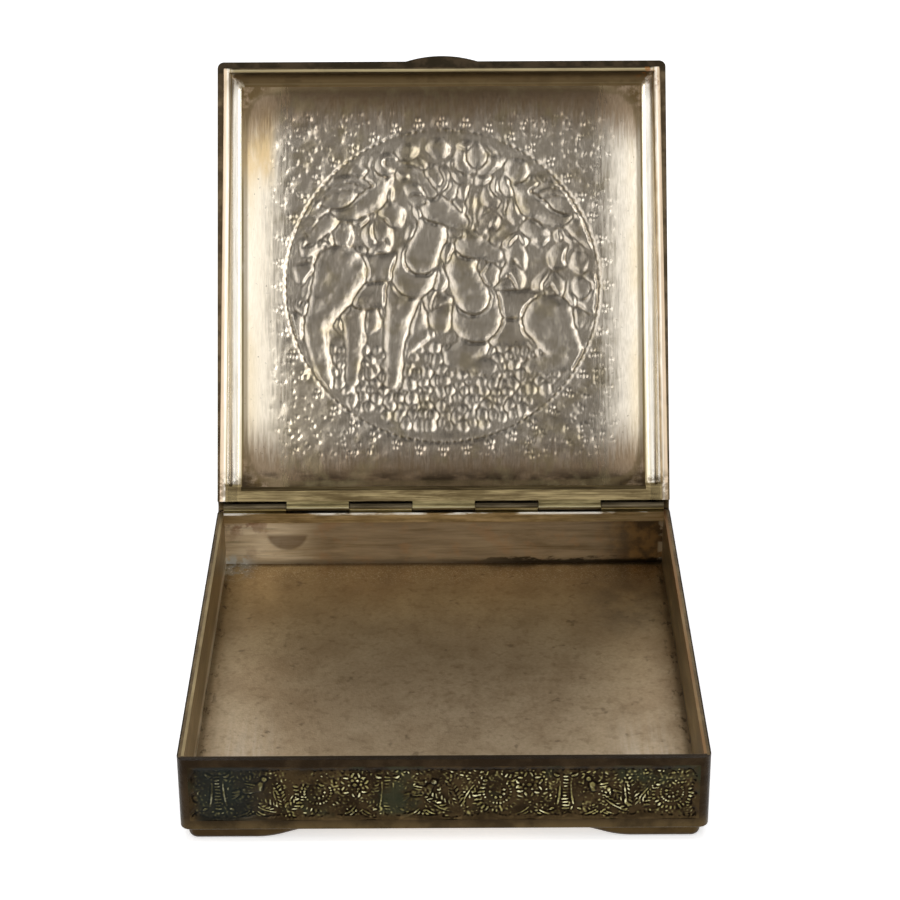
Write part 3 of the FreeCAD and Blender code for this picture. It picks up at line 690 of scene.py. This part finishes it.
# Front bands, darker than the sides: painted shade in the front cove.
front = bands(top_gap, (0, "2b241a"), (2.7, "3b3226"), (2.85, "a99d7b"), (3.5, "8c7f60"), (3.7, "5f5038"),
              (4.6, "66563d"), (6.0, "57472f"), (6.35, "665840"), (6.7, "57482f"), (7.3, "57462f"))
front = tint(front, lay(blotch, "3d301e", "6d5c40"), 0.35, level)
mitre = reckon("ADD", reckon("SUBTRACT", side_gap, top_gap),
               part_of(reckon("SUBTRACT", blotch, 0.5), 2 * MM))
silver = lay(span(mitre, -0.8 * MM, 1.6 * MM), sides, front)
rust = part_of(span(reckon("ADD", side_gap, top_gap), 15 * MM, 9 * MM), mottle(lid_spot, 380, 0.5, 0.62))
rust = part_of(rust, on_right)
silver = tint(silver, "8f5c2c", 0.8, rust)

inward = reckon("SUBTRACT", MOULDING * MM, reckon("MINIMUM", side_gap, top_gap))
lift = reckon("SUBTRACT", along(lid_spot, "Z"), COVE_CENTRE * MM)
far = reckon("ADD", part_of(inward, inward), part_of(lift, lift))
outside = part_of(span(reckon("SQRT", far), (COVE_MIDDLE - 0.1) * MM, (COVE_MIDDLE + 0.1) * MM),
                  span(along(lid_spot, "Z"), 0.35 * MM, 0.15 * MM))
silver = lay(outside, silver, lay(blotch, "33281b", "54452d"))

bar = lay(level, "62543a", "9c8c66")
bar = tint(bar, "4c3e26", 0.6, mottle(on_lid(tree, (0.2, 1, 1)), 260, 0.48, 0.62))
on_bar = part_of(span(up, 7.6 * MM, 7.0 * MM), span(side_gap, 2.2 * MM, 2.6 * MM))
silver = lay(on_bar, silver, bar)
dark = lay(span(top_gap, 4 * MM, 3 * MM), lay(blotch, "44392a", "61533f"), lay(blotch, "2b251b", "3f3528"))
outer = reckon("MINIMUM", from_edge, reckon("SUBTRACT", top_gap, 1.8 * MM))
silver = lay(span(outer, 0.7 * MM, 0.5 * MM), silver, dark)
feed(shader.inputs["Base Color"], silver)
frosted = part_of(span(from_edge, 2.8 * MM, 3.2 * MM), span(from_edge, 6.8 * MM, 5.8 * MM))
frosted = part_of(frosted, span(mitre, 0.6 * MM, -0.8 * MM))
frosted = part_of(frosted, reckon("SUBTRACT", 1.0, outside))
feed(shader.inputs["Roughness"], reckon("SUBTRACT", 0.52, part_of(0.3, frosted)))
dress(lid_frame_silver, "lid_moulding_front", "lid_moulding_left", "lid_moulding_right", "lid_hinge_bar",
      "lid_bezel_front", "lid_bezel_left", "lid_bezel_right", "thumbpiece")


# Lid panel: one domed sheet raised from behind, with a gazelle, a doe and birds about a tree in a ring.
# Small marks and spirals fill the corners. Hollows show inside the lid, and the raised work outside.
PANEL_HALF, PANEL_MIDDLE, PANEL_UNDER, PANEL_SHEET = 62.7, 69.2, 2.05, 0.9
DOME_RISE, PANEL_RIM, CROWN_RUN, CROWN_SQUARENESS = 1.2, 0.8, 24.0, 12
RELIEF_HALF, RELIEF_STEPS, BORDER_STEPS = 54.0, 283, 7
RING, RING_KNOTS, RING_BEADS = 49.0, 44, 130
CENTRE = (0, 0)


class Motif:
    """One figure of the medallion, drawn from its own origin and facing one way or the other."""

    def __init__(self, sheet, origin, way, scale=1.0):
        self.sheet, self.origin, self.way, self.scale = sheet, origin, way, scale

    def at(self, x, y):
        return self.origin[0] + self.way * self.scale * x, self.origin[1] + self.scale * y

    def limb(self, *spine, cover=True):
        """A pillow of even slope, no deeper than the sheet allows."""
        spine = [(*self.at(x, y), r * self.scale) for x, y, r in spine]
        shoulder = min(max(r for *_, r in spine), 4.4)
        self.sheet.limb(spine, 0.1 * shoulder, shoulder, 0.02, cover)

    def leaf(self, root, tip, width, bow=0.0):
        width *= self.scale
        root, tip = self.at(*root), self.at(*tip)
        self.sheet.blade(root, tip, width, 0.05 * width, self.way * bow, 0.02)


def gazelle(sheet, origin, way):
    """Standing, with one foreleg raised and its horns laid back."""
    beast = Motif(sheet, origin, way, 1.15)
    beast.limb((6, -6, 3.6), (9, -15, 2.6), (4, -20, 2.0))
    beast.limb((-10, -6, 4.4), (-9, -16, 2.8), (-10, -27, 2.1))
    beast.leaf((-17, 4), (-24, -7), 5.0)
    beast.limb((4, -2, 5.6), (-7, -3, 5.4))
    beast.limb((3, 3.5, 4.2), (-8, 3, 4.2))
    for rib in range(3):
        beast.limb((-1.5 - 2.8 * rib, 4, 1.3), (-2.4 - 2.8 * rib, -5, 1.6), cover=False)
    beast.limb((4, -4, 5.2), (2, -16, 3.0), (1, -28, 2.2))
    beast.limb((-13, 2, 7.6), (-15, -3, 6.4), (-20, -13, 3.4), (-17, -28, 2.2))
    beast.limb((7, 1, 6.4), (8, 5, 6.0))
    beast.limb((9, 6, 5.0), (12, 13, 4.4), (13, 18, 3.6))
    beast.limb((13, 19.5, 4.3), (20, 15.5, 2.4))
    beast.leaf((11, 21), (4.5, 22.5), 3.6)
    beast.limb((12, 23.5, 1.8), (8, 29.5, 1.6), (0, 32, 1.2))


def resting_doe(sheet, origin, way):
    """Lying down, with its legs folded under it and its head turned back."""
    beast = Motif(sheet, origin, way, 1.25)
    beast.limb((9, -7, 3.4), (15, -10, 2.8), (6, -12.5, 2.2))
    beast.limb((3, -2, 5.6), (-5, -2, 5.4))
    beast.limb((3, 3.4, 3.8), (-6, 3, 4.0))
    for rib in range(3):
        beast.limb((2 - 3 * rib, 4, 1.3), (1.2 - 3 * rib, -6, 1.7), cover=False)
    beast.limb((-9, -1, 7.0), (-11, -5, 5.4), (-15, -10, 3.2), (-5, -12.5, 2.2))
    beast.limb((9, 0, 6.6), (9, 3, 6.0))
    beast.limb((10, 5, 4.6), (13, 12, 3.9), (11, 18, 3.4))
    beast.limb((11, 18.5, 3.8), (4.5, 15.5, 2.1))
    beast.leaf((12, 20), (18, 23.5), 3.8)


def songbird(sheet, origin, way):
    """Perched, with a long tail and one wing half spread."""
    bird = Motif(sheet, origin, way, 1.15)
    for tip in ((-19, -9), (-21, -4), (-17, -13)):
        bird.leaf((-5, -1), tip, 5.2)
    bird.limb((-5, -1, 5.2), (1, 1.5, 5.2), (4.5, 7, 3.4))
    bird.limb((5.5, 9.5, 3.5), (6.3, 10, 3.2))
    bird.leaf((8.5, 10), (13.5, 8.2), 2.4)
    for step in range(3):
        bird.leaf((2.5 - 2 * step, 4 - step), (-12 - 0.5 * step, 5 - 3.4 * step), 5.4)


def spreading_tree(sheet, origin):
    """A crooked trunk, forked boughs and broad leaves."""
    tree = Motif(sheet, origin, 1)
    boughs = (((-2, 12), (-12, 29)), ((-1, 14), (2, 36)), ((0, 10), (12, 27)), ((1, 4), (22, 22)))
    for root, tip in boughs:
        middle = (0.6 * root[0] + 0.4 * tip[0], 0.35 * root[1] + 0.65 * tip[1])
        tree.limb((*root, 2.0), (*middle, 1.7), (*tip, 1.2))
        for far in (0.4, 0.85):
            foot = [m + far * (t - m) for m, t in zip(middle, tip)]
            for lean in (-55, 40):
                heading = math.degrees(math.atan2(tip[1] - root[1], tip[0] - root[0])) + lean
                tree.leaf(foot, polar(foot, 11.0, heading), 7.4, 0.1)
        tree.leaf(tip, polar(tip, 10.0, 90), 7.6)
    tree.limb((-3, -25, 2.6), (-1, -11, 2.2), (-3.5, 2, 1.8), (-2, 16, 1.5))
    tree.limb((1.5, -26, 3.0), (2.5, -11, 2.4), (-0.5, 2, 2.0), (0, 16, 1.6))


def corner_scrolls(sheet, draw):
    """Small punch marks strewn over the four corners, with a spiral of larger ones in each."""
    def comma(spot, angle, length, width):
        if np.hypot(*spot) > RING + 5 and np.abs(spot).max() < RELIEF_HALF:
            sheet.blade(spot, polar(spot, length, angle), width, 0.1 * width, 0.2, 0.0)

    for corner_x in (-1, 1):
        for corner_y in (-1, 1):
            for x in np.arange(8, 55, 3.4 - 0.4 * corner_x):
                for y in np.arange(8, 55, 3.4 - 0.4 * corner_x):
                    spot = np.array((corner_x * x, corner_y * y)) + draw.uniform(-1.1, 1.1, 2)
                    comma(spot, draw.uniform(50, 130), draw.uniform(1.0, 1.9), draw.uniform(0.7, 1.1))
            for middle, turns in (((45, 45), 2.3), ((28, 50), 1.2), ((50, 28), 1.2)):
                for step in np.arange(0.15, turns, 0.11):
                    heading = 360 * step * corner_x
                    spot = polar((corner_x * middle[0], corner_y * middle[1]), 0.8 + 4 * step, heading)
                    lean, length, width = draw.uniform((40, 1.4, 0.9), (110, 2.4, 1.5))
                    comma(spot, heading + corner_x * lean, length, width)


def chase_medallion(columns, rows, draw):
    """A gazelle, a resting doe and birds about a tree, on stony ground among leaves."""
    sheet = ChasedSheet(columns, rows)
    for y in np.arange(46, -24, -7.0):
        for x in np.arange(-46, 47, 7.6):
            spot = np.array((x + 3.8 * (round(y / 7) % 2), y)) + draw.uniform(-1.4, 1.4, 2)
            length, heading, width, bow = draw.uniform((9.0, 60, 6.4, -0.15), (13.0, 120, 9.0, 0.15))
            tip = polar(spot, length, heading)
            if np.hypot(*tip) < RING - 1:
                sheet.blade(spot, tip, width, 0.05 * width, bow, 0.02)
    for y in np.arange(-20, -47, -2.6):
        for x in np.arange(-46, 47, 3.6):
            spot = np.array((x + 1.8 * (round(y / 2.6) % 2), y)) + draw.uniform(-0.9, 0.9, 2)
            tall, wide = draw.uniform((0.2, 1.2), (1.4, 2.2))
            if np.hypot(*spot) < RING - 3:
                stone = [(spot[0], spot[1] - tall / 2, wide), (spot[0], spot[1] + tall / 2, wide * 0.9)]
                sheet.limb(stone, 0.12 * wide, wide, 0.03)
    for angle in np.arange(-15, 196, 12):
        root = polar(CENTRE, RING - 9, angle)
        tip = polar(CENTRE, RING - 1.8, angle + draw.uniform(-5, 5))
        sheet.blade(root, tip, 8.0, 0.34, line=0.02)
    spreading_tree(sheet, (9, 0))
    songbird(sheet, (-24, 27), 1)
    songbird(sheet, (30, 25), -1)
    resting_doe(sheet, (22, -10), -1)
    gazelle(sheet, (-17, 2), 1)
    sheet.height = sheet.mean(1)
    for y in np.arange(-22, 44, 2.4):
        for x in np.arange(-46, 47, 2.4):
            spot = np.array((x, y)) + draw.uniform(-1, 1, 2)
            length, heading, width, lift = draw.uniform((1.2, 60, 0.5, 0.01), (3.2, 120, 0.9, 0.03))
            if np.hypot(*spot) < RING - 3 and draw.uniform() < 0.3:
                sheet.stroke(spot, polar(spot, length, heading), width, lift)
    return sheet


def chase_panel(columns, rows):
    """The medallion in its beaded ring, the corners about it and the marks of the hammer."""
    draw = np.random.default_rng(11)
    sheet = ChasedSheet(columns, rows)
    corner_scrolls(sheet, draw)
    for turn in range(RING_KNOTS):
        for reach, swing in ((RING + 2.2, -1.0), (RING + 2.2, 1.0), (RING + 3.8, 0)):
            sheet.disc(polar(CENTRE, reach, 360 / RING_KNOTS * turn + swing), 0.75, 0.15, 0.0)
    medallion = chase_medallion(columns, rows, draw)
    from_ring = np.hypot(sheet.x, sheet.y) - RING
    sheet.height = np.where(from_ring < -1.0, medallion.height, sheet.height)
    around = np.arctan2(sheet.y, sheet.x)
    step = np.clip(0.5 - from_ring / 1.5, 0, 1)
    sheet.height -= 0.08 * step * step * (3 - 2 * step)
    sheet.height -= (0.13 + 0.05 * np.cos(RING_BEADS * around)) * np.exp(-((from_ring / 0.55) ** 2))
    sheet.hammer(draw, 0.05, 4.0, 11.0)
    sheet.hammer(draw, 0.01, 1.2, 3.0)
    return sheet


lid_panel_silver, tree, shader = new_finish("lid_panel_silver", 0.22)
lid_spot = on_lid(tree)
beside = reckon("ABSOLUTE", along(lid_spot, "X"))
above = reckon("ABSOLUTE", reckon("SUBTRACT", along(lid_spot, "Y"), PANEL_MIDDLE * MM))
brushed = mottle(on_lid(tree, (1, 0.1, 1)), 3600, 0.25, 0.75, 3.0)
streaks = mottle(on_lid(tree, (1, 0.07, 1)), 1500, 0.3, 0.7)
silver = lay(brushed, "8d8579", "9f978b")
silver = tint(silver, "776c5b", 0.4, mottle(lid_spot, 60))
# Painted reflection: the left and right borders are lighter, the left more than the right.
border_sheen = span(reckon("ADD", beside, part_of(streaks, 4 * MM)), 48 * MM, 60 * MM)
left_sheen = lay(brushed, "e2d7c3", "efe5d3")
right_sheen = lay(brushed, "c4bbab", "ddd5c7")
lower_left = part_of(span(along(lid_spot, "X"), -24 * MM, -50 * MM),
                     span(along(lid_spot, "Y"), 62 * MM, 26 * MM))
silver = tint(silver, "c4b8a3", 0.55, lower_left)
to_right = span(along(lid_spot, "X"), -20 * MM, 20 * MM)
silver = lay(border_sheen, silver, lay(to_right, left_sheen, right_sheen))
gilt = part_of(span(beside, 56 * MM, 61 * MM), mottle(on_lid(tree, (1, 0.3, 1)), 70, 0.4, 0.6))
silver = tint(silver, "c2ab78", 0.35, gilt)
seam = part_of(line_at(beside, 62.4 * MM, 0.4 * MM), mottle(on_lid(tree, (1, 0.2, 1)), 260, 0.3, 0.5))
silver = lay(seam, silver, "85774c")
warm = part_of(span(along(lid_spot, "X"), -51 * MM, -55 * MM),
               line_at(along(lid_spot, "Y"), 114 * MM, 17 * MM))
silver = tint(silver, "d2b98e", warm, mottle(on_lid(tree, (1, 0.3, 1)), 160, 0.3, 0.6))
# Brown at the top and bottom borders: partly tarnish, partly painted shade.
tarnish_and_shade = reckon("ADD", part_of(streaks, 4 * MM), part_of(border_sheen, 6 * MM))
tarnish_and_shade = span(reckon("ADD", above, tarnish_and_shade), 46 * MM, 63 * MM)
silver = tint(silver, lay(brushed, "614e38", "745f46"), 0.9, tarnish_and_shade)
dirt_and_shade = part_of(span(reckon("ADD", beside, above), 113 * MM, 119 * MM), mottle(lid_spot, 300, 0.36, 0.56))
silver = tint(silver, "453619", 0.8, dirt_and_shade)
# Darker along the lid's bar, in patches.
dark_by_bar = part_of(span(along(lid_spot, "Y"), 13.5 * MM, 8.0 * MM),
                mottle(on_lid(tree, (0.35, 1, 1)), 210, 0.36, 0.58))
silver = tint(silver, "2b2217", 0.9, dark_by_bar)
silver = tint(silver, "3f3322", 0.5, mottle(lid_spot, 900, 0.66, 0.72, 4.0))
silver = tint(silver, "5c4f38", 0.6, span(raised(tree), -0.02, -0.1))
patina = part_of(mottle(lid_spot, 120, 0.5, 0.66), reckon("SUBTRACT", 1.0, border_sheen))
silver = tint(silver, "82775a", 0.4, patina)
feed(shader.inputs["Base Color"], silver)
feed(shader.inputs["Roughness"], reckon("ADD", 0.23, part_of(0.19, border_sheen)))
dent(shader, brushed, 0.003 * MM)

fine = np.linspace(-RELIEF_HALF - 1, RELIEF_HALF + 1, RELIEF_STEPS)
border = np.linspace(RELIEF_HALF + 2.2, PANEL_HALF, BORDER_STEPS)
steps = np.concatenate((-border[::-1], fine, border))
sheet = chase_panel(steps, steps)


def crown(x, y):
    """Rise of the panel above its rim, with the corners of the raised field softened."""
    square = (np.abs(x) ** CROWN_SQUARENESS + np.abs(y) ** CROWN_SQUARENESS) ** (1 / CROWN_SQUARENESS)
    share = np.clip((PANEL_HALF - PANEL_RIM - square) / CROWN_RUN, 0, 1)
    return DOME_RISE * (1 - (1 - share) ** 4)


def lid_point(u, v, q):
    """Place of a point across the lid, up from the panel's middle and out through the sheet."""
    p = -PANEL_MIDDLE - v
    y = HINGE_Y + p * math.cos(LID_OPEN) + q * math.sin(LID_OPEN)
    z = HINGE_Z - p * math.sin(LID_OPEN) + q * math.cos(LID_OPEN)
    return u, y, z


SPLIT = 0.7
dome = crown(sheet.x, sheet.y)
relief = np.clip(sheet.height, -0.18, 0.64) * np.clip(dome / DOME_RISE * 3 - 1.6, 0, 1)
for face, level, finish in (("inside", PANEL_UNDER, lid_panel_silver),
                            ("outside", PANEL_UNDER + PANEL_SHEET, frieze_tarnish)):
    sheet.height = level + dome + relief
    piece = press_plate(f"lid_panel_{face}", steps, steps, sheet, (1.0, 0.95, 0.9, 0.85, 0.79, 0.7, 0.6),
                        lambda x, y: PANEL_UNDER + SPLIT + crown(x, y), lid_point)
    piece.data.materials.append(finish)
    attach(piece, "lid")
    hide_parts("lid_panel")


# Table: a plain white surface that the box stands on, wide enough to fill the picture.
# It glows a little to the eye, so that it shows white and still keeps the box's soft shadow.
def seen_straight(tree):
    """One where the eye, a reflection or glass looks on, nought for light that falls on the box."""
    rays = tree.nodes.new("ShaderNodeLightPath")
    straight = reckon("MAXIMUM", rays.outputs["Is Camera Ray"], rays.outputs["Is Glossy Ray"])
    return reckon("MAXIMUM", straight, rays.outputs["Is Transmission Ray"])


bpy.ops.object.select_all(action="DESELECT")
bpy.ops.mesh.primitive_plane_add(size=6, location=(0, 0, -0.0002))
table = bpy.context.object
table.name = "table"
table_white = bpy.data.materials.new("table_white")
table_white.use_nodes = True
tree = table_white.node_tree
tree.nodes.clear()
matt = tree.nodes.new("ShaderNodeBsdfDiffuse")
matt.inputs["Color"].default_value = (0.9, 0.9, 0.9, 1)
glow = tree.nodes.new("ShaderNodeEmission")
tree.links.new(part_of(seen_straight(tree), 0.55), glow.inputs["Strength"])
both = tree.nodes.new("ShaderNodeAddShader")
tree.links.new(matt.outputs[0], both.inputs[0])
tree.links.new(glow.outputs[0], both.inputs[1])
surface = tree.nodes.new("ShaderNodeOutputMaterial")
tree.links.new(both.outputs[0], surface.inputs["Surface"])
table.data.materials.append(table_white)


# Studio: a white room with a soft lamp on either side in front and one overhead.
# The left lamp is the stronger, and the one overhead lights the box without showing in the silver.
studio = bpy.data.worlds.new("studio")
studio.use_nodes = True
tree = studio.node_tree
room = tree.nodes["Background"]
room.inputs["Color"].default_value = (1, 1, 1, 1)
tree.links.new(reckon("ADD", 0.45, part_of(seen_straight(tree), 0.55)), room.inputs["Strength"])
bpy.context.scene.world = studio
bpy.context.scene.view_settings.view_transform = "Standard"


def soft_lamp(name, place_m, aim_m, wide, tall, watts):
    """A lamp behind a sheet of white cloth, turned to what it lights."""
    bpy.ops.object.light_add(type="AREA", location=place_m)
    lamp = bpy.context.object
    lamp.name = name
    lamp.data.shape = "RECTANGLE"
    lamp.data.size, lamp.data.size_y = wide, tall
    lamp.data.energy = watts
    lamp.visible_camera = False
    away = Vector(place_m) - Vector(aim_m)
    lamp.rotation_euler = away.to_track_quat("Z", "Y").to_euler()


OPEN_LID = (0, 0.1, 0.09)
soft_lamp("lamp_left", (-0.46, -0.93, 0.91), OPEN_LID, 0.22, 0.9, 3.8)
soft_lamp("lamp_right", (0.46, -0.93, 0.91), OPEN_LID, 0.22, 0.9, 2.0)
soft_lamp("lamp_above", (0, -0.1, 1.3), (0, 0, 0), 0.8, 0.8, 6)
bpy.context.object.visible_glossy = False


# Cards: a tall grey card behind the camera and one overhead, which the silver shows as a dim room.
# The tall one is darker towards its ends, and both fade at their sides.
def grey_card(name, place_m, turn, wide, tall, lightness):
    """A card that only reflections show."""
    bpy.ops.mesh.primitive_plane_add(size=1, location=place_m, rotation=(turn, 0, 0))
    card = bpy.context.object
    card.name = name
    card.scale = (wide, tall, 1)
    card_grey = bpy.data.materials.new(f"{name}_paper")
    card_grey.use_nodes = True
    tree = card_grey.node_tree
    tree.nodes.clear()
    spot = place(tree)
    aside = reckon("ABSOLUTE", along(spot, "X"))
    level = reckon("ABSOLUTE", along(spot, "Y"))
    glow = tree.nodes.new("ShaderNodeEmission")
    glow.inputs["Color"].default_value = (1, 0.95, 0.86, 1)
    middle = span(level, 0.24, 0.08)
    tree.links.new(reckon("ADD", 0.1, part_of(middle, lightness)), glow.inputs["Strength"])
    clear = tree.nodes.new("ShaderNodeBsdfTransparent")
    fade = tree.nodes.new("ShaderNodeMixShader")
    tree.links.new(span(aside, 0.34, 0.5), fade.inputs["Fac"])
    tree.links.new(glow.outputs[0], fade.inputs[1])
    tree.links.new(clear.outputs[0], fade.inputs[2])
    surface = tree.nodes.new("ShaderNodeOutputMaterial")
    tree.links.new(fade.outputs[0], surface.inputs["Surface"])
    card.data.materials.append(card_grey)
    card.visible_camera = card.visible_diffuse = card.visible_shadow = False


grey_card("front_card", (0, -1.3, 1.2), math.pi / 2, 0.52, 2.4, 0.3)
grey_card("upper_card", (0, -0.45, 2.4), 0, 0.9, 1.7, 0.0)


# Camera: a long lens, square to the front of the box and looking down into it.
# Its height and distance are the photograph's, worked out from the box's corners.
bpy.ops.object.camera_add(location=(0.0015, -0.6243, 0.3935))
camera = bpy.context.object
camera.rotation_euler = [math.radians(angle) for angle in (63.44, 0.23, -0.16)]
camera.data.sensor_width = 36
camera.data.lens = 101.2
bpy.context.scene.camera = camera
